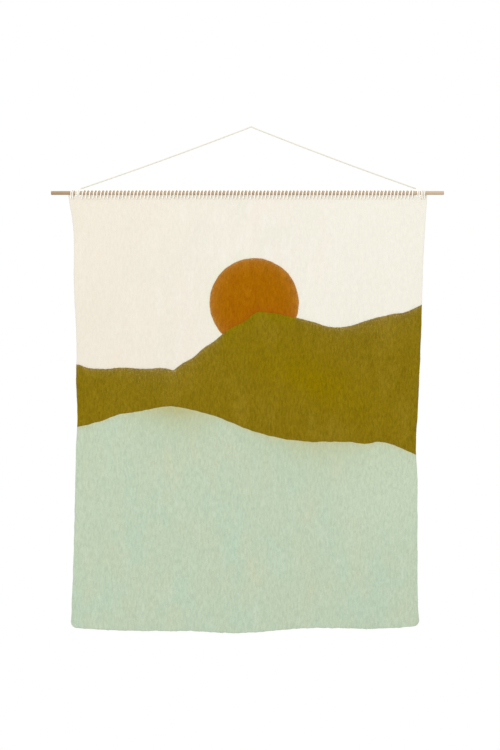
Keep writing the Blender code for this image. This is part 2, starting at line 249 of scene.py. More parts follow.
def addMesh(name, verts, faces, material):
    mesh = bpy.data.meshes.new(name)
    mesh.from_pydata(np.asarray(verts).tolist(), [], faces)
    mesh.polygons.foreach_set("use_smooth", [True] * len(mesh.polygons))
    mesh.materials.append(material)
    obj = bpy.data.objects.new(name, mesh)
    scene.collection.objects.link(obj)
    return obj


def addUv(obj, across, up):
    # across and up hold one number for each vertex
    layer = obj.data.uv_layers.new(name="cloth")
    corners = np.empty(len(obj.data.loops), int)
    obj.data.loops.foreach_get("vertex_index", corners)
    layer.data.foreach_set("uv", np.stack([across[corners], up[corners]], 1).ravel().astype(np.float32))


def paintOn(obj, shares):
    # each share is how strongly its tint shows, from 0 to 1 for each vertex
    for name, values in shares.items():
        layer = obj.data.attributes.new(name, "FLOAT", "POINT")
        layer.data.foreach_set("value", np.clip(values, 0, 1).astype(np.float32))


def settle(piece, body, node):
    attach(piece, body)
    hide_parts(node)


def laidCord(name, path, diameter, material, sides=12, lobeDepth=0.09):
    # twisted strands: a lobed tube that turns as it runs, closed with a soft dome at each end
    path = np.array(path)
    tangent = np.gradient(path, axis=0)
    tangent /= np.linalg.norm(tangent, axis=1)[:, None]
    normal = np.cross(tangent[0], (0.0, 1.0, 0.0))
    if np.linalg.norm(normal) < 0.1:
        normal = np.cross(tangent[0], (1.0, 0.0, 0.0))
    along = np.concatenate([[0], np.cumsum(np.linalg.norm(np.diff(path, axis=0), axis=1))])
    around = np.arange(sides) / sides * 2 * np.pi
    strands, lay = cordage["strands"], cordage["lay"]
    lobe = diameter / 2 * (1 - lobeDepth + lobeDepth * np.cos(strands * around))
    rings = []
    for i, centre in enumerate(path):
        normal = normal - tangent[i] * normal.dot(tangent[i])
        normal /= np.linalg.norm(normal)
        side = np.cross(tangent[i], normal)
        turn = around + along[i] / lay * 2 * np.pi / strands
        spoke = np.cos(turn)[:, None] * normal + np.sin(turn)[:, None] * side
        rings.append(centre + lobe[:, None] * spoke)
    for ring, size in ((0, "endSize"), (-1, "endSize"), (1, "neckSize"), (-2, "neckSize")):
        rings[ring] = path[ring] + (rings[ring] - path[ring]) * cordage[size]
    count = len(rings)
    verts = np.concatenate([*rings, path[:1], path[-1:]])
    faces = []
    for ring in range(count - 1):
        low, high = ring * sides, (ring + 1) * sides
        faces += [(low + s, low + (s + 1) % sides, high + (s + 1) % sides, high + s) for s in range(sides)]
    first, last = count * sides, count * sides + 1
    top = (count - 1) * sides
    faces += [(first, (s + 1) % sides, s) for s in range(sides)]
    faces += [(last, top + s, top + (s + 1) % sides) for s in range(sides)]
    obj = addMesh(name, verts, faces, material)
    lengths = np.concatenate([np.repeat(along, sides), [0, along[-1]]])
    angles = np.concatenate([np.tile(np.arange(sides) / sides, count), [0, 0]])
    addUv(obj, lengths, angles * cordage["girth"])
    return obj


# Cotton cord: the hanger with its two knots, and the stitching along the top edge

cordage = {
    "diameter": 0.003,
    "strands": 3,
    "lay": 0.011,  # along the cord from one strand's crest to the next
    "girth": 0.009,  # once round the cord
    "endSize": 0.45,  # the last ring at a cut end, and the one before it
    "neckSize": 0.9,
    "wrapRadius": 0.0063,  # rod axis to the middle of a cord laid round it
    "wrapStart": 60,  # degrees below the front where a knot's first wrap begins
    "wrapStep": 18,  # degrees between its points
    "knotStep": 0.0008,
    "hangerColour": (0.745, 0.72, 0.62),
    "hangerShade": (0.65, 0.62, 0.51),
    # painted light: the stitching cotton is paler than the hanger's, against the shade where its strands
    # meet the felt and the rod
    "stitchPaintedLightColour": (0.94, 0.905, 0.825),
    "stitchShade": (0.88, 0.84, 0.75),
}
hanger = {
    "left": (-0.3892, -0.1401),  # just inside the left knot, then the same on the right
    "right": (0.3773, -0.1401),
    "overNail": [(-0.004, -0.0002), (0.0, 0.0015), (0.004, -0.0002)],
    "sag": 0.0024,
    "fullness": 1.09,  # so that the twisted cord measures its full diameter between lobe and hollow
    "pointsEachSide": 10,
    "step": 0.0012,
}
# each knot: where its first wrap starts, its run along the rod, how far it turns, and its way out on top
knots = {
    "leftKnot": {
        "node": "left_cord_knot", "start": -0.39985, "run": 0.0077, "turn": 840,
        "out": [(-0.3917, -0.00166, 0.00782), (-0.39056, 0.0, 0.00939), (-0.38915, 0.0, 0.0099)],
    },
    "rightKnot": {
        "node": "right_cord_knot", "start": 0.3847, "run": -0.0044, "turn": 480,
        "out": [(0.37985, -0.00166, 0.00783), (0.37871, 0.0, 0.00938), (0.3773, 0.0, 0.0099)],
    },
}
stitching = {
    "leftHoles": (-0.41175, -0.40815),
    "rightHoles": (0.3884, 0.3920, 0.3956),
    "closePitch": 0.0036,  # beside the knots
    "runStart": -0.3864,
    "runEnd": 0.368,
    "runHoles": 91,
    "holeDrop": 0.0135,  # below the rod's axis
    "tail": 0.012,
    "behind": 0.0033,  # how far the cord lies behind the cloth's plane
    "through": ((0.0004, -0.0008), (-0.0022, 0.0004)),  # then forwards through its hole: (place, rise)
    "radius": 0.00616,
    "slack": 0.00012,
    "sideSlack": 4,  # times as much along the rod
    # how far along each turn has come at its points over the rod, from front to back
    "slant": (0.20, 0.42, 0.62, 0.80, 0.92),
    "slantStep": 45,  # degrees between them
    # the same, then place and height, for the legs below the rod
    "frontLeg": (0.12, -0.0046, -0.0066),
    "backLeg": (0.88, 0.0055, -0.0066),
    "sides": 9,
    "lobeDepth": 0.06,
    "step": 0.001,
}


def cordMaterial(name, colour, shade):
    recipe = Recipe(name)
    uv = recipe.place()
    fibres = recipe.noise(recipe.stretched(uv, (260, 2600, 1)), 1, detail=3, distortion=0.4)
    soil = recipe.noise(recipe.stretched(uv, (38, 60, 1)), 1, detail=2)
    colour = recipe.mix(fibres, shade, colour)
    colour = recipe.mix(recipe.ramp(soil, [(0.4, 0.0), (0.75, 0.5)]), colour, shade)
    # the mesh has the seams where the strands meet; the fibres give each strand its nap
    normal = recipe.bump(fibres, 0.00014, 0.7)
    gloss = recipe.ramp(fibres, [(0.2, 0.78), (0.8, 0.95)])
    return recipe.surface(colour, gloss, normal, specular=0.05)


def makeHanger(material, knotMaterial):
    nail = hanger["overNail"]
    share = np.linspace(0, 1, hanger["pointsEachSide"])[:-1]
    sag = hanger["sag"] * 4 * share * (1 - share)
    sides = []
    for (x, z), (nailX, nailZ) in ((hanger["left"], nail[0]), (hanger["right"], nail[-1])):
        sides.append([(x + (nailX - x) * s, 0.0, z + (nailZ - z) * s - low) for s, low in zip(share, sag)])
    run = roundedPath(sides[0] + [(x, 0.0, z) for x, z in nail] + sides[1][::-1], hanger["step"])
    line = laidCord("hangingCord", run, cordage["diameter"] * hanger["fullness"], material)
    settle(line, "hanger", "hanging_cord")
    radius = cordage["wrapRadius"]
    for name, knot in knots.items():
        steps = round(knot["turn"] / cordage["wrapStep"])
        route = []
        for step in range(steps + 1):
            share = step / steps
            angle = math.radians(knot["turn"] * share - cordage["wrapStart"])
            x = knot["start"] + knot["run"] * share
            route.append((x, -radius * math.cos(angle), radius * math.sin(angle)))
        route = [(x, y, z + rodZ) for x, y, z in route + knot["out"]]
        path = roundedPath(route, cordage["knotStep"])
        piece = laidCord(name, path, cordage["diameter"], knotMaterial)
        settle(piece, "hanger", knot["node"])


def stitchPlan():
    # (hole, where the cord comes down behind the cloth) for each stitch, from left to right
    close = stitching["closePitch"]
    run = np.linspace(stitching["runStart"], stitching["runEnd"], stitching["runHoles"])
    pitch = run[1] - run[0]
    plan = [(x, x + close) for x in stitching["leftHoles"]]
    plan += [(x, x + pitch) for x in run[:-1]] + [(run[-1], run[-1] + pitch / 2)]
    return plan + [(x, x + close) for x in stitching["rightHoles"]]


def makeLashing(material):
    dice = np.random.default_rng(7)
    plan = stitchPlan()
    hole, tail = -stitching["holeDrop"], stitching["tail"]
    back = stitching["behind"]
    start, end = plan[0][0], plan[-1][1]
    frontShare, *frontLeg = stitching["frontLeg"]
    backShare, *backLeg = stitching["backLeg"]
    route = [(start, back, hole - tail), (start, back, hole - tail / 2)]
    for number, (x, down) in enumerate(plan):
        span = down - x
        wander = stitching["slack"] * dice.uniform(-1, 1)
        # forwards through the cloth, then up in front, over the rod and down behind
        route += [(x, back, hole)] + [(x, y, hole + rise) for y, rise in stitching["through"]]
        route.append((x + frontShare * span, *frontLeg))
        lift = stitching["radius"] + abs(wander)
        for step, along in enumerate(stitching["slant"]):
            angle = math.radians(stitching["slantStep"] * step)
            over = x + span * along + stitching["sideSlack"] * wander
            route.append((over, -lift * math.cos(angle), lift * math.sin(angle)))
        route.append((x + backShare * span, *backLeg))
        if number + 1 < len(plan) and plan[number + 1][0] - down > cordage["diameter"]:
            route.append((down, back, hole))
    route += [(end, back, hole), (end, back, hole - tail / 2), (end, back, hole - tail)]
    path = roundedPath([(x, y, z + rodZ) for x, y, z in route], stitching["step"])
    lashing = laidCord(
        "lashingCord", path, cordage["diameter"], material, stitching["sides"], stitching["lobeDepth"],
    )
    settle(lashing, "cloth_upper", "lashing_cord")
    print("stitching,", len(plan), "turns")


# the stitching and knots get the paler cotton, with painted light in it
stitchCotton = cordMaterial("cottonStitching", cordage["stitchPaintedLightColour"], cordage["stitchShade"])
makeHanger(cordMaterial("cottonCord", cordage["hangerColour"], cordage["hangerShade"]), stitchCotton)
makeLashing(stitchCotton)


# The rod: a raw wooden dowel, its ends eased

rod = {
    "sides": 48,
    "lengths": 180,
    "easedEnd": 0.0009,
    "endRings": (0.66, 0.33),
    "unevenness": 0.00006,
    "slimmer": 0.00004,  # than its true radius, so that it turns free in its knots and stitches
    "pale": (0.435, 0.29, 0.165),
    "dark": (0.28, 0.18, 0.10),
    "bare": (0.47, 0.335, 0.205),
    "paintedLight": (0.60, 0.47, 0.335),
    "endGrain": (0.34, 0.23, 0.14),
    "endGrainShare": 0.8,
    # painted light: paler towards the right, as if lit from that side, and between the stitches, against
    # the shade they cast on the rod
    "rightLightFrom": 0.2,
    "rightLightOver": 0.22,
    "rightLightShare": 0.65,
    "stitchLightFrom": -0.412,
    "stitchLightTo": 0.397,
    "stitchLightOver": 0.006,
    "stitchLightShare": 0.45,
}


def rodMaterial():
    recipe = Recipe("rawWood")
    place = recipe.place("Object")
    along = recipe.stretched(place, (14, 620, 620))
    grain = recipe.noise(along, 1, detail=4, roughness=0.65, distortion=0.6)
    pores = recipe.noise(recipe.stretched(place, (110, 2600, 2600)), 1, detail=2)
    tone = recipe.noise(recipe.stretched(place, (5, 40, 40)), 1, detail=1)
    colour = recipe.mix(recipe.ramp(grain, [(0.32, 0.0), (0.68, 1.0)]), rod["dark"], rod["pale"])
    colour = recipe.mix(recipe.ramp(tone, [(0.4, 0.0), (0.7, 0.7)]), colour, rod["bare"])
    colour = recipe.mix(recipe.ramp(pores, [(0.6, 0.0), (0.72, 0.55)]), colour, rod["dark"], "MULTIPLY")
    # painted light: the rod is paler towards the right and between the stitches
    colour = recipe.mix(recipe.painted("paintedLight"), colour, rod["paintedLight"])
    colour = recipe.mix(recipe.painted("endGrain"), colour, rod["endGrain"])
    normal = recipe.bump(grain, 0.0003, 0.6)
    normal = recipe.bump(pores, 0.0002, 0.5, normal)
    return recipe.surface(colour, recipe.ramp(grain, [(0.2, 0.52), (0.8, 0.7)]), normal)


def makeRod():
    sides, ease = rod["sides"], rod["easedEnd"]
    low, high = rodLow.x, rodHigh.x
    tip = np.array([0, 0.0003, 0.0006])
    stations = np.concatenate([tip, np.linspace(ease, high - low - ease, rod["lengths"])])
    stations = np.concatenate([stations, high - low - tip[::-1]])
    around = np.arange(sides) / sides * 2 * np.pi
    verts = []
    for x in stations:
        fromEnd = min(x, high - low - x)
        inset = ease * (1 - math.sqrt(max(0.0, 1 - (1 - min(fromEnd / ease, 1)) ** 2)))
        wobble = rod["unevenness"] * (unevenness(x, 3, 0.05, 0.3) + np.sin(5 * around + 9 * x))
        radius = rodRadius - rod["slimmer"] - inset - np.abs(wobble)
        verts += [(low + x, r * math.cos(a), rodZ + r * math.sin(a)) for r, a in zip(radius, around)]
    # a few rings on each end face, for the end grain
    for end, x in ((0, low), (len(stations) - 1, high)):
        for share in rod["endRings"]:
            ring = np.array(verts[end * sides:(end + 1) * sides])
            centre = np.array((x, 0, rodZ))
            verts += [tuple(p) for p in centre + (ring - centre) * share]
        verts.append((x, 0, rodZ))

    def band(a, b):
        return [(a + (s + 1) % sides, b + (s + 1) % sides, b + s, a + s) for s in range(sides)]

    faces = []
    for ring in range(len(stations) - 1):
        faces += band(ring * sides, (ring + 1) * sides)
    cap = len(stations) * sides
    for outer, flip in ((0, True), (cap - sides, False)):
        inner, centre = cap + sides, cap + 2 * sides
        end = band(outer, cap) + band(cap, inner)
        end += [(inner + (s + 1) % sides, centre, inner + s) for s in range(sides)]
        faces += [face[::-1] for face in end] if flip else end
        cap = centre + 1
    piece = addMesh("dowel", verts, faces, rodMaterial())
    xs = np.array([v[0] for v in verts])
    inStitches = np.minimum(xs - rod["stitchLightFrom"], rod["stitchLightTo"] - xs)
    # painted light between the stitches, against their shade on the rod, and towards the right
    stitchLight = easeIn(inStitches, rod["stitchLightOver"]) * rod["stitchLightShare"]
    paintedLight = np.maximum(easeIn(xs - rod["rightLightFrom"], rod["rightLightOver"]) * rod["rightLightShare"], stitchLight)
    ends = np.zeros(len(verts))
    ends[len(stations) * sides:] = rod["endGrainShare"]
    paintOn(piece, {"paintedLight": paintedLight, "endGrain": ends})
    settle(piece, "rod_body", "rod")
    print("rod turned")


makeRod()


# The cloth: fields of wool felt, joined where they meet, over a plain cotton backing

cloth = {
    "middle": -0.008,
    "width": 0.800,
    "height": 0.993,
    "cornerRadius": 0.014,
    "feltThickness": 0.0015,
    "feltBack": 0.0,  # the felt's back lies in the cloth's own plane
    "backingThickness": 0.0012,
    "backingGap": 0.0003,
    "lap": 0.0022,  # how far one field runs in under the next
    "column": 0.0030,  # between the points inside a sheet
    "row": 0.0065,
    "outlineStep": 0.0025,
    "edgeFullness": 0.35,  # thickness left at the very edge
    "borderRows": ((0.0007, 0.8), (0.0019, 1.0)),  # how far in, and how full there
    "borderWidth": 0.0032,
    "edgeWobble": 0.0003,
    "lineWobble": 0.0005,
    "pucker": 0.00013,
    "wave": 0.0020,
    "freeBelow": 0.14,  # the drop over which the cloth gains its full sway
    "gather": 0.00035,
    "gatherReach": 0.014,
    "underRod": 0.0023,  # how far the stitches draw the cloth up under the rod
    "scallop": 0.0003,
    "knotRoom": 0.0083,  # rod axis to the edge where a knot is
    "knotFade": 0.0022,
}
# lines across the cloth: (place from -1 at the left side to 1 at the right, drop below the top edge)
skylinePoints = [
    (-1.0, 0.3845), (-0.9575, 0.3855), (-0.93, 0.3900), (-0.79, 0.3940), (-0.70, 0.3915), (-0.62, 0.3943),
    (-0.49, 0.3932), (-0.45, 0.3945), (-0.424, 0.3975), (-0.40, 0.3905), (-0.367, 0.3810), (-0.312, 0.3690),
    (-0.257, 0.3492), (-0.1975, 0.333), (-0.105, 0.304), (-0.015, 0.285), (0.065, 0.264), (0.1225, 0.266),
    (0.305, 0.280), (0.529, 0.300), (0.6725, 0.2855), (0.735, 0.2778), (0.8145, 0.2705), (0.9, 0.2650),
    (1.0, 0.247),
]
hillFootPoints = [
    (-1.0, 0.530), (-0.84, 0.514), (-0.745, 0.500), (-0.61, 0.491), (-0.45, 0.480), (-0.2875, 0.491),
    (-0.1525, 0.507), (-0.015, 0.530), (0.1225, 0.547), (0.3525, 0.5608), (0.50, 0.5610), (0.586, 0.5618),
    (0.677, 0.5656), (0.7458, 0.5613), (0.80, 0.5640), (0.8715, 0.5745), (1.0, 0.598),
]
# the same across, then how far the bottom edge lies above its true line
bottomPoints = [
    (-1.0, 0.006), (-0.7, 0.0), (-0.443, -0.0012), (-0.30, -0.0014), (-0.146, -0.0054), (-0.043, -0.0058),
    (0.07, -0.0032), (0.186, 0.0012), (0.30, 0.0048), (0.5, 0.006), (0.7, 0.004), (1.0, 0.010),
]
# how far each side strays to the right of its true line: (drop, distance)
leftPoints = [
    (0.0, -0.010), (0.05, -0.001), (0.21, 0.0035), (0.35, 0.0095), (0.43, 0.0085), (0.50, 0.0115),
    (0.57, 0.0085), (0.66, 0.0065), (0.84, 0.0020), (0.99, -0.0040),
]
rightPoints = [
    (0.0, 0.0106), (0.13, 0.0023), (0.32, -0.0036), (0.485, -0.0105), (0.585, -0.015), (0.63, -0.0122),
    (0.72, -0.0116), (0.85, -0.0114), (0.93, -0.0105), (0.99, -0.006),
]
# the sun's disc, which spreads a little over the sky
sun = {"radius": 0.1006, "x": 0.0074, "drop": 0.2442, "spread": 0.0022, "wobble": 0.0006, "points": 240}


def across(x):
    return (x - cloth["middle"]) / (cloth["width"] / 2)


def sideX(side, z):
    points = leftPoints if side < 0 else rightPoints
    wobble = cloth["edgeWobble"] * unevenness(z, 20 + side, 0.012, 0.09)
    return cloth["middle"] + side * cloth["width"] / 2 + smooth(points, clothTop - z) + wobble


def stitchPull(x):
    # 1 at each hole of the long run, -1 halfway between two
    pitch = (stitching["runEnd"] - stitching["runStart"]) / (stitching["runHoles"] - 1)
    return np.cos(2 * np.pi * (x - stitching["runStart"]) / pitch)


def topEdge(x):
    # each stitch draws the edge up a little, and the edge keeps clear of the two knots
    pulled = 0.5 + 0.5 * stitchPull(x)
    edge = clothTop + cloth["underRod"] - cloth["scallop"] * (1 - pulled)
    fade = cloth["knotFade"]
    for knot in knots.values():
        away = np.abs(x - knot["start"] - knot["run"] / 2) - abs(knot["run"]) / 2 - fade
        edge = edge + (rodZ - cloth["knotRoom"] - edge) * (1 - easeIn(away, fade))
    return edge


def skyline(x):
    wobble = cloth["lineWobble"] * unevenness(x, 31, 0.010, 0.07)
    return clothTop - smooth(skylinePoints, across(x)) + wobble


def hillFoot(x):
    wobble = cloth["lineWobble"] * unevenness(x, 32, 0.010, 0.07)
    return clothTop - smooth(hillFootPoints, across(x)) + wobble


def bottomEdge(x):
    wobble = cloth["lineWobble"] * unevenness(x, 33, 0.012, 0.08)
    return clothTop - cloth["height"] + smooth(bottomPoints, across(x)) + wobble


def clothDepth(x, z):
    # how the cloth stands off its plane: slow waves, fine upright puckers, and gathers under the stitches
    drop = clothTop - z
    hang = easeIn(drop, cloth["freeBelow"])
    slow = 0.6 * np.sin(2 * np.pi * (x + 0.30 * z) / 0.47 + 0.8)
    slow = slow + 0.4 * np.sin(2 * np.pi * (x - 0.2 * z) / 0.19 + 2.1)
    dice = np.random.default_rng(12)

    def ripple(place, shortest, longest, sway=0):
        return np.sin(2 * np.pi * place / dice.uniform(shortest, longest) + sway + dice.uniform(0, 6.28))

    fine = 0
    for _ in range(12):
        sway = dice.uniform(0.8, 2.6) * ripple(z, 0.06, 0.2)
        swell = 0.4 + 0.6 * ripple(z + 0.3 * x, 0.03, 0.11)
        fine = fine + swell * ripple(x, 0.011, 0.028, sway)
    gathers = stitchPull(x) * np.exp(-drop / cloth["gatherReach"])
    puckers = cloth["pucker"] * fine * (0.25 + 0.75 * hang)
    return cloth["wave"] * hang * slow + puckers - cloth["gather"] * gathers


def outlineBetween(upper, lower, corner=0.0, inset=0.0):
    # clockwise from the upper left, as (x, z) points
    def meet(side, line, away=0.0):
        x = cloth["middle"] + side * cloth["width"] / 2
        for _ in range(6):
            z = line(x - side * away) + away
            x = sideX(side, z) - side * inset
        return x, z

    def run(start, end):
        return np.linspace(start, end, max(2, round(abs(end - start) / cloth["outlineStep"]) + 1))

    left, topLeft = meet(-1, upper)
    right, topRight = meet(1, upper)
    lowLeft, leftEnd = meet(-1, lower, corner)
    lowRight, rightEnd = meet(1, lower, corner)
    points = [(x, float(upper(x))) for x in run(left, right)]
    points += [(float(sideX(1, z)) - inset, z) for z in run(topRight, rightEnd)[1:]]
    angles = np.radians(np.linspace(0, 90, 9)[1:]) if corner else []
    turns = [(corner * math.cos(a), corner * math.sin(a)) for a in angles]
    points += [(lowRight - corner + c, rightEnd - s) for c, s in turns]
    points += [(x, float(lower(x))) for x in run(lowRight - corner, lowLeft + corner)[1:]]
    points += [(lowLeft + corner - s, leftEnd - c) for c, s in turns]
    points += [(float(sideX(-1, z)) + inset, z) for z in run(leftEnd, topLeft)[1:-1]]
    return np.array(points)


def within(points, loops):
    # True for the points inside an odd number of the loops
    inside = np.zeros(len(points), bool)
    x, z = points[:, 0], points[:, 1]
    for loop in loops:
        for (ax, az), (bx, bz) in zip(loop, np.roll(loop, -1, axis=0)):
            crosses = (az > z) != (bz > z)
            if crosses.any():
                inside[crosses] ^= x[crosses] < ax + (z[crosses] - az) * (bx - ax) / (bz - az)
    return inside


def clearance(points, loops):
    # distance to the nearest outline point, in parts to spare memory
    edge = np.concatenate(loops)
    parts = np.array_split(points, 40)
    return np.concatenate([np.linalg.norm(part[:, None] - edge[None], axis=2).min(1) for part in parts])


def outwards(loop):
    # the way along a loop and the way out of it, at each of its points
    along = np.roll(loop, -1, axis=0) - np.roll(loop, 1, axis=0)
    along /= np.linalg.norm(along, axis=1)[:, None]
    return along, np.stack([-along[:, 1], along[:, 0]], 1)


fuzz = {
    "perPoint": 2,
    "reach": 0.0032,
    "radius": 0.00005,
    "rooted": 0.0006,  # how far inside the border a fibre begins
    "stray": (1.6, 0.6, 0.0003, 0.0012),  # most lean, curl, lift off the cloth and shift along the border
}


def strayFibres(loops, shows, surface, seed):
    # fine closed spikes of wool that leave the border and lie along it or reach out from it
    dice = np.random.default_rng(seed)
    corners = np.radians((90, 210, 330))
    verts, faces = [], []
    for loop in loops:
        for point, run, away, height in zip(loop, *outwards(loop), surface(*loop.T)):
            if not shows(*point):
                continue
            for _ in range(fuzz["perPoint"]):
                reach = fuzz["reach"] * dice.uniform(0.2, 1.0)
                lean, curl, lift, shift = dice.uniform(-1, 1, 4) * fuzz["stray"]
                root = point + run * shift - away * fuzz["rooted"]
                heading = away + run * (lean + curl / 2)
                heading /= np.linalg.norm(heading)
                first = len(verts)
                for share in (0, 0.35, 0.7):
                    x, z = root + (away * share + run * (lean * share + curl * share**2)) * reach
                    thick = fuzz["radius"] * (1 - 0.6 * share)
                    wide = np.array((-heading[1], heading[0])) * thick
                    for turn in corners:
                        y = height + lift * share + thick * math.cos(turn)
                        verts.append((x + wide[0] * math.sin(turn), y, z + wide[1] * math.sin(turn)))
                x, z = root + (away + run * (lean + curl)) * reach
                verts.append((x, height + lift, z))
                for a in (first, first + 3):
                    faces += [(a + s, a + (s + 1) % 3, a + 3 + (s + 1) % 3, a + 3 + s) for s in range(3)]
                faces += [(first + 6 + s, first + 6 + (s + 1) % 3, first + 9) for s in range(3)]
                faces.append((first + 2, first + 1, first))
    return verts, faces


def layCloth(name, loops, material, back, thickness, paint, proud=0.0, column=None, row=None, fuzzy=None):
    # a closed sheet between its outlines: a border that thins to a soft edge, and rows of points inside
    # paint gives the share of each tint at (x, z); fuzzy tells where stray fibres leave the border
    column, row = column or cloth["column"], row or cloth["row"]
    edge = np.concatenate(loops)
    points, fullness = [edge], [np.full(len(edge), cloth["edgeFullness"])]
    for inwards, full in cloth["borderRows"]:
        for loop in loops:
            out = outwards(loop)[1]
            for side in (loop + out * inwards, loop - out * inwards):
                keep = within(side, loops)
                keep[keep] = clearance(side[keep], loops) > inwards * 0.8
                points.append(side[keep])
                fullness.append(np.full(keep.sum(), full))
    low, high = edge.min(0), edge.max(0)
    xs = column * np.arange(math.ceil(low[0] / column), math.floor(high[0] / column) + 1)
    zs = row * np.arange(math.ceil(low[1] / row), math.floor(high[1] / row) + 1)
    grid = np.stack(np.meshgrid(xs, zs), -1).reshape(-1, 2)
    grid = grid[within(grid, loops)]
    grid = grid[clearance(grid, loops) > cloth["borderWidth"]]
    points.append(grid)
    fullness.append(np.ones(len(grid)))
    points, fullness = np.concatenate(points), np.concatenate(fullness)

    spots, _, cells, origin, _, _ = delaunay_2d_cdt([Vector(p) for p in points], [], [], 0, 1e-7)
    spots = np.array([tuple(s) for s in spots])
    full = np.array([fullness[o[0]] for o in origin])
    cells = np.array([c for c in cells if len(c) == 3])
    cells = cells[within(spots[cells].mean(1), loops)]
    a, b, c = (spots[cells[:, i]] for i in range(3))
    area = (b[:, 0] - a[:, 0]) * (c[:, 1] - a[:, 1]) - (b[:, 1] - a[:, 1]) * (c[:, 0] - a[:, 0])
    cells[area < 0] = cells[area < 0][:, ::-1]
    cells = cells[np.abs(area) > 1e-12]

    count = len(spots)
    x, z = spots.T
    depth = clothDepth(x, z)
    middle = back - thickness / 2
    front = middle - full * (thickness / 2 + proud) + depth
    rear = middle + full * thickness / 2 + depth
    verts = np.concatenate([np.stack([x, front, z], 1), np.stack([x, rear, z], 1)])
    edges = np.concatenate([cells[:, [0, 1]], cells[:, [1, 2]], cells[:, [2, 0]]])
    known = set(map(tuple, edges.tolist()))
    rim = [(i, j) for i, j in known if (j, i) not in known]
    faces = cells.tolist() + (cells[:, ::-1] + count).tolist()
    faces += [(j, i, i + count, j + count) for i, j in sorted(rim)]
    if fuzzy:
        def surface(x, z):
            return clothDepth(x, z) + back - thickness - proud

        spikes, sides = strayFibres(loops, fuzzy, surface, 5)
        faces += [tuple(v + len(verts) for v in side) for side in sides]
        verts = np.concatenate([verts, spikes])
    obj = addMesh(name, verts, faces, material)
    x, z = verts[:, 0], verts[:, 2]
    addUv(obj, x, z)
    paintOn(obj, paint(x, z))
    print(name, len(faces), "faces")
    return obj, float(np.abs(area).sum() / 2)


# Wool felt: fibres pressed every way, upright streaks from the puckers, and slow mottling in the dye
felt = {
    "streakDepth": 0.0005,
    "threadDepth": 0.0003,
    "napDepth": 0.00012,
    "roughness": (0.86, 0.98),
}


def feltMaterial(name, field):
    # a mottle is (tint, scale, where it starts, where it is full, how much of it)
    # a paint is (where it is painted, tint, what breaks it up, where it starts, where it is full, how much)
    recipe = Recipe(name)
    uv = recipe.place()
    streaks = recipe.noise(recipe.stretched(uv, (250, 75, 1)), 1, detail=3, roughness=0.6, distortion=0.7)
    threads = recipe.noise(recipe.stretched(uv, (760, 420, 1)), 1, detail=3, roughness=0.6, distortion=1.4)
    nap = recipe.noise(recipe.stretched(uv, (1900, 1500, 1)), 1, detail=3, roughness=0.7, distortion=2.0)
    shade = field["colour"]
    for number, (tint, scale, low, high, amount) in enumerate(field["mottles"]):
        moved = recipe.add("Mapping", Vector=uv, Location=(3.1 * number, 1.7 * number, 0))
        offset = recipe.stretched(moved.outputs["Vector"], scale)
        cloud = recipe.noise(offset, 1, detail=3, roughness=0.55, distortion=0.3)
        shade = recipe.mix(recipe.ramp(cloud, [(low, 0.0), (high, amount)]), shade, tint)
    for attribute, tint, kind, low, high, amount in field["paints"]:
        grain = {"cloud": streaks, "fibre": threads}[kind]
        broken = recipe.ramp(grain, [(low, 0.0), (high, amount)])
        shade = recipe.mix(recipe.math("MULTIPLY", recipe.painted(attribute), broken), shade, tint)
    # painted shade: each field darkens by its contrast where its fibres and streaks sink, in the hollows of
    # the bump
    for grain in (threads, streaks):
        hollowShade = recipe.ramp(grain, [(0.32, 1 - field["contrast"]), (0.62, 1.0)])
        shade = recipe.mix(1.0, shade, hollowShade, "MULTIPLY")
    normal = recipe.bump(streaks, felt["streakDepth"], 1.0)
    normal = recipe.bump(threads, felt["threadDepth"], 0.8, normal)
    normal = recipe.bump(nap, felt["napDepth"], 0.8, normal)
    gloss = recipe.ramp(nap, list(zip((0.3, 0.7), felt["roughness"])))
    return recipe.surface(shade, gloss, normal, specular=0.02)


def layFelt(name, woolName, field, loops, paint, shows):
    wool = feltMaterial(woolName, field)
    return layCloth(
        name, loops, wool, cloth["feltBack"], cloth["feltThickness"], paint,
        proud=field["proud"], row=field.get("row"), fuzzy=shows,
    )


sky = {
    "proud": 0.0,  # how far a field stands up from the sky
    "colour": (0.755, 0.718, 0.630),
    "contrast": 0.05,
    "mottles": [
        ((0.785, 0.705, 0.620), (9, 4, 1), 0.50, 0.75, 0.8),  # faint peach
        ((0.705, 0.697, 0.600), (14, 6, 1), 0.50, 0.78, 0.7),  # and a greener grey
        ((0.785, 0.755, 0.680), (40, 12, 1), 0.50, 0.70, 0.7),
    ],
    "paints": [
        # painted shade with a warmer tint: darker towards the left
        ("warmSide", (0.735, 0.668, 0.555), "cloud", 0.0, 0.3, 0.55),
        # painted light: paler towards the right
        ("paleSide", (0.775, 0.755, 0.665), "cloud", 0.0, 0.3, 0.75),
        ("rustHalo", (0.74, 0.60, 0.42), "fibre", 0.50, 0.66, 0.65),
        ("oliveFibres", (0.50, 0.42, 0.19), "fibre", 0.56, 0.66, 0.75),
        ("greenHalo", (0.70, 0.72, 0.55), "cloud", 0.2, 0.6, 0.7),
        # painted shade: greyer along the left side, as at a rounded edge
        ("rim", (0.66, 0.64, 0.60), "cloud", 0.2, 0.6, 0.5),
    ],
}


def sunOutline(grow):
    a = np.linspace(0, -2 * np.pi, sun["points"] + 1)[:-1]
    radius = sun["radius"] + grow + sun["wobble"] * unevenness(a, 44, 0.10, 1.1)
    return np.stack([sun["x"] + radius * np.cos(a), clothTop - sun["drop"] + radius * np.sin(a)], 1)


def sunDistance(x, z):
    return np.hypot(x - sun["x"], z - (clothTop - sun["drop"])) - sun["radius"]


def nearSides(x, z):
    return np.minimum(x - sideX(-1, z), sideX(1, z) - x)


def aboveHills(outline):
    # the run of the sun's outline that stands clear of the hills' lap
    keep = outline[:, 1] > skyline(outline[:, 0]) - cloth["lap"]
    first = int(np.flatnonzero(keep & ~np.roll(keep, 1))[0])
    return np.roll(outline, -first, axis=0)[: keep.sum()]


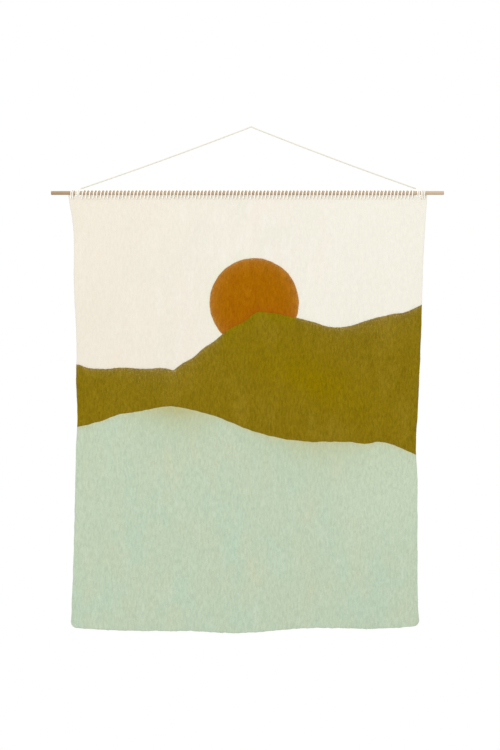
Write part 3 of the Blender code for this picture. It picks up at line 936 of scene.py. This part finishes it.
def cutOpening(outline, bite):
    # joins an opening that reaches the lower line into the outline, between its two ends
    ends = bite[0], bite[-1]
    right, left = (ends if ends[0][0] > ends[1][0] else ends[::-1])
    bite = bite if bite[0][0] > bite[-1][0] else bite[::-1]
    lowRow = outline[:, 1] < clothTop - sun["drop"]
    lowRow &= (outline[:, 0] > left[0]) & (outline[:, 0] < right[0])
    first = int(np.flatnonzero(lowRow & ~np.roll(lowRow, 1))[0])
    turned = np.roll(outline, -first, axis=0)
    return np.concatenate([bite, turned[int(lowRow.sum()):]])


def makeSky():
    lap = cloth["lap"]
    outline = outlineBetween(topEdge, lambda x: skyline(x) - lap)
    loops = [cutOpening(outline, aboveHills(sunOutline(-lap)))]

    # exp(-distance / reach) fades a tint out over that reach
    def paint(x, z):
        return {
            # painted shade and warmth on the left, painted light on the right
            "warmSide": 1 - easeIn(x + 0.42, 0.5),
            "paleSide": easeIn(x + 0.02, 0.35),
            "rustHalo": np.exp(-np.abs(sunDistance(x, z)) / 0.004),
            "oliveFibres": np.exp(-np.abs(z - skyline(x)) / 0.004),
            "greenHalo": np.exp(-np.abs(sunDistance(x, z)) / 0.010) * (x < sun["x"]),
            # painted shade along the left side
            "rim": np.exp(-np.abs(x - sideX(-1, z)) / 0.003),
        }

    def shows(x, z):
        return nearSides(x, z) < 0.002 and z > skyline(x) + 0.002 and z < topEdge(x) - 0.004

    piece, area = layFelt("skyFelt", "creamWool", sky, loops, paint, shows)
    settle(piece, "cloth_upper", "sky_felt")


sunFelt = {
    "proud": 0.0002,
    "row": 0.004,
    "colour": (0.370, 0.129, 0.0005),
    "contrast": 0.22,
    "mottles": [
        ((0.44, 0.163, 0.003), (34, 18, 1), 0.48, 0.75, 0.6),
        ((0.335, 0.100, 0.001), (60, 30, 1), 0.50, 0.72, 0.6),
    ],
    "paints": [
        ("rim", (0.47, 0.205, 0.035), "fibre", 0.30, 0.62, 0.9),
        ("border", (0.60, 0.42, 0.24), "fibre", 0.52, 0.66, 0.7),
        ("hairs", (0.72, 0.56, 0.36), "cloud", 0.0, 0.1, 0.8),
        ("nextHill", (0.36, 0.085, 0.004), "cloud", 0.2, 0.5, 0.5),
    ],
}


def makeSun():
    rim = aboveHills(sunOutline(sun["spread"]))
    count = max(3, round(abs(rim[0][0] - rim[-1][0]) / cloth["outlineStep"]))
    foot = np.linspace(rim[-1][0], rim[0][0], count + 1)[1:-1]
    loops = [np.concatenate([rim, np.stack([foot, skyline(foot) - cloth["lap"]], 1)])]

    def paint(x, z):
        inside = -sunDistance(x, z)
        return {
            "rim": np.exp(-inside / 0.010),
            "border": np.exp(-inside / 0.0022),
            "hairs": easeIn(-inside - sun["spread"], 0.0009),
            "nextHill": np.exp(-np.clip(z - skyline(x), 0, 1) / 0.012),
        }

    def shows(x, z):
        return z > skyline(x) + 0.001

    piece, area = layFelt("sunFelt", "rustWool", sunFelt, loops, paint, shows)
    settle(piece, "cloth_upper", "sun_felt")


hills = {
    "proud": 0.0004,
    # a patch of stronger colour, leaning down to the right
    "patchX": 0.145,
    "patchZ": -0.58,
    "patchLean": 0.42,
    "patchWidth": 0.13,
    "patchHeight": 0.055,
    "flanks": ((-0.45, 0.35), (0.75, 0.30)),  # where the top is thin and pale: (place across, width)
    "colour": (0.255, 0.172, 0.0050),
    "contrast": 0.27,
    "mottles": [
        ((0.300, 0.205, 0.012), (18, 9, 1), 0.48, 0.72, 0.7),
        ((0.215, 0.148, 0.003), (36, 12, 1), 0.48, 0.72, 0.6),
    ],
    "paints": [
        ("overSun", (0.260, 0.190, 0.0), "cloud", 0.1, 0.4, 0.9),
        ("strongPatch", (0.262, 0.178, 0.0), "cloud", 0.2, 0.5, 0.95),
        ("thinTop", (0.33, 0.235, 0.085), "fibre", 0.40, 0.60, 0.85),
        ("paleFibres", (0.62, 0.54, 0.36), "fibre", 0.56, 0.68, 0.8),
        ("hairs", (0.58, 0.50, 0.30), "cloud", 0.0, 0.1, 0.7),
        ("foot", (0.24, 0.155, 0.008), "cloud", 0.2, 0.6, 0.6),
    ],
}


def makeHills():
    lap = cloth["lap"]
    loops = [outlineBetween(skyline, lambda x: hillFoot(x) - lap)]

    def paint(x, z):
        down = skyline(x) - z
        aside = x - hills["patchX"]
        above = z - hills["patchZ"] + hills["patchLean"] * aside
        patch = np.exp(-((aside / hills["patchWidth"]) ** 2 + (above / hills["patchHeight"]) ** 2))
        flank = sum(np.exp(-(((across(x) - at) / width) ** 2)) for at, width in hills["flanks"])
        onSun = 1 - easeIn(sunDistance(x, skyline(x)) + 0.014, 0.028)
        pale = np.exp(-down / 0.0045) + 0.5 * flank * np.exp(-down / 0.03)
        return {
            "overSun": np.exp(-down / 0.012) * onSun,
            "strongPatch": patch,
            "thinTop": np.exp(-down / 0.006) * np.clip(0.45 + 0.6 * flank, 0, 1) * (1 - onSun),
            "paleFibres": np.clip(pale, 0, 1) * (1 - onSun),
            "foot": np.exp(-np.abs(z - hillFoot(x)) / 0.006),
            "hairs": easeIn(-down - 0.0002, 0.0009),
        }

    def shows(x, z):
        return z > hillFoot(x) + 0.002

    piece, area = layFelt("hillsFelt", "oliveWool", hills, loops, paint, shows)
    settle(piece, "cloth_upper", "hills_felt")


foreground = {
    "proud": 0.0006,
    "veils": ((-0.175, 0.075, 1.0), (0.150, 0.15, 0.5)),  # olive over the mint: (x, width, how much)
    "colour": (0.500, 0.592, 0.442),
    "contrast": 0.14,
    "mottles": [
        ((0.475, 0.600, 0.465), (12, 6, 1), 0.45, 0.70, 0.8),  # bluer
        ((0.545, 0.588, 0.425), (16, 8, 1), 0.50, 0.72, 0.7),  # towards beige
        ((0.545, 0.630, 0.490), (50, 16, 1), 0.52, 0.70, 0.6),
    ],
    "paints": [
        # painted light: paler towards the right and away from the bottom edge
        ("paleSide", (0.540, 0.630, 0.475), "cloud", 0.0, 0.3, 0.75),
        ("oliveVeil", (0.45, 0.425, 0.18), "cloud", 0.10, 0.50, 0.85),
        ("oliveVeil", (0.36, 0.31, 0.10), "fibre", 0.52, 0.68, 0.55),
        ("thinTop", (0.53, 0.50, 0.26), "fibre", 0.35, 0.60, 0.75),
        ("oliveFibres", (0.25, 0.19, 0.03), "fibre", 0.58, 0.68, 0.7),
        # painted shade: greyer along the sides and bottom, as at a rounded edge
        ("rim", (0.50, 0.58, 0.46), "cloud", 0.2, 0.6, 0.5),
    ],
}


def makeForeground():
    loops = [outlineBetween(hillFoot, bottomEdge, cloth["cornerRadius"])]

    def paint(x, z):
        down = hillFoot(x) - z
        veil = sum(much * np.exp(-(((x - at) / width) ** 2)) for at, width, much in foreground["veils"])
        return {
            # painted light: paler towards the right and away from the bottom edge
            "paleSide": easeIn(x - 0.05, 0.30) * easeIn(z - bottomEdge(x) - 0.10, 0.20),
            "oliveVeil": np.exp(-np.clip(down - 0.006, 0, 1) / 0.034) * np.clip(veil, 0, 1),
            "thinTop": np.exp(-down / 0.006),
            "oliveFibres": np.exp(-down / 0.006),
            # painted shade along the sides and bottom edge
            "rim": np.exp(-np.minimum(nearSides(x, z), z - bottomEdge(x)) / 0.004),
        }

    piece, area = layFelt("foregroundFelt", "mintWool", foreground, loops, paint, lambda x, z: True)
    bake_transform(piece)
    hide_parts("foreground_felt_upper", "foreground_felt_lower")


backing = {
    "column": 0.005,
    "row": 0.008,
    "inset": 0.0012,  # how far it stops inside the felt's edge
    "warp": 900,  # threads to the metre
    "weft": 800,
    "colour": (0.70, 0.66, 0.56),
    "darkSpun": (0.60, 0.55, 0.44),
    "warmDrift": (0.74, 0.69, 0.57),
    # wool that has worked its way through the base, faint on the back
    "throughShare": 0.6,
    "throughSoft": 0.010,
    "through": [
        ("sunThrough", (0.50, 0.27, 0.10)),
        ("hillsThrough", (0.40, 0.335, 0.14)),
        ("mintThrough", (0.55, 0.62, 0.49)),
    ],
}


def backingMaterial():
    recipe = Recipe("backingCotton")
    uv = recipe.place()
    drift = recipe.noise(recipe.stretched(uv, (30, 30, 1)), 1, detail=2)
    spun = recipe.noise(recipe.stretched(uv, (500, 500, 1)), 1, detail=3)
    threads = []
    for axis, number in (("X", backing["warp"]), ("Y", backing["weft"])):
        wave = recipe.add("TexWave", {"wave_type": "BANDS", "bands_direction": axis}, Vector=uv)
        recipe.feed(wave.inputs["Scale"], number * 2 * math.pi / 20)  # threads, in the wave's own unit
        recipe.feed(wave.inputs["Distortion"], 0.4)
        threads.append(wave.outputs["Fac"])
    weave = recipe.math("MULTIPLY", threads[0], threads[1])
    warm = recipe.ramp(drift, [(0.4, 0.0), (0.7, 0.7)])
    colour = recipe.mix(warm, backing["colour"], backing["warmDrift"])
    colour = recipe.mix(recipe.ramp(spun, [(0.45, 0.0), (0.75, 0.6)]), colour, backing["darkSpun"])
    wisps = recipe.noise(recipe.stretched(uv, (140, 70, 1)), 1, detail=4, roughness=0.65, distortion=1.2)
    shows = recipe.ramp(wisps, [(0.30, 0.12), (0.68, 0.80)])
    for attribute, tint in backing["through"]:
        colour = recipe.mix(recipe.math("MULTIPLY", recipe.painted(attribute), shows), colour, tint)
    # painted shade: darker in the gaps between the threads of the weave
    colour = recipe.mix(1.0, colour, recipe.ramp(weave, [(0.0, 0.72), (0.6, 1.0)]), "MULTIPLY")
    normal = recipe.bump(weave, 0.0004, 0.9)
    normal = recipe.bump(spun, 0.0003, 0.6, normal)
    gloss = recipe.ramp(weave, [(0.0, 0.95), (1.0, 0.84)])
    return recipe.surface(colour, gloss, normal, specular=0.05)


def makeBacking():
    inset = backing["inset"]
    loops = [outlineBetween(topEdge, lambda x: bottomEdge(x) + inset, cloth["cornerRadius"], inset)]
    back = cloth["backingGap"] + cloth["backingThickness"]

    def paint(x, z):
        soft, share = backing["throughSoft"], backing["throughShare"]
        overHills = easeIn(z - skyline(x) + soft / 2, soft)
        overFoot = easeIn(z - hillFoot(x) + soft / 2, soft)
        return {
            "sunThrough": overHills * (1 - easeIn(sunDistance(x, z) + soft / 2, soft)) * share,
            "hillsThrough": overFoot * (1 - overHills) * share,
            "mintThrough": (1 - overFoot) * share,
        }

    piece, area = layCloth(
        "backingCloth", loops, backingMaterial(), back, cloth["backingThickness"], paint,
        column=backing["column"], row=backing["row"],
    )
    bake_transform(piece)
    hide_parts("backing_cloth_upper", "backing_cloth_lower")


makeSky()
makeSun()
makeHills()
makeForeground()
makeBacking()

print("all pieces made")
